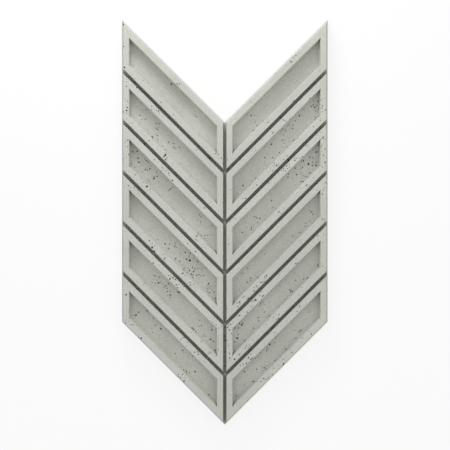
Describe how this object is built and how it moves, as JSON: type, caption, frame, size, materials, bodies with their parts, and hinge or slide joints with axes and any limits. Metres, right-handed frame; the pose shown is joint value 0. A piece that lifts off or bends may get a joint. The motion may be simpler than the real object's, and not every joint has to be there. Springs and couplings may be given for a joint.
{
  "type": "concrete wall panel",
  "caption": "Chevron-shaped cast concrete wall panel with framed, sunk slats that fall to an upright spine, parted by drafted grooves; a flat back is glued to the wall.",
  "frame": {"origin": "middle of the flat back's bounding box, on the floor the panel lies on", "axes": "+Z out of the back to the front face, +Y up the panel as it hangs, away from its point, +X to the right as seen from the front"},
  "size_m": [0.3, 0.591, 0.03],
  "materials": {
    "cast_concrete": "matt, as cast from a mould, with air pores"
  },
  "bodies": {
    "root": {"wall_panel": "cast_concrete"}
  },
  "joints": []
}
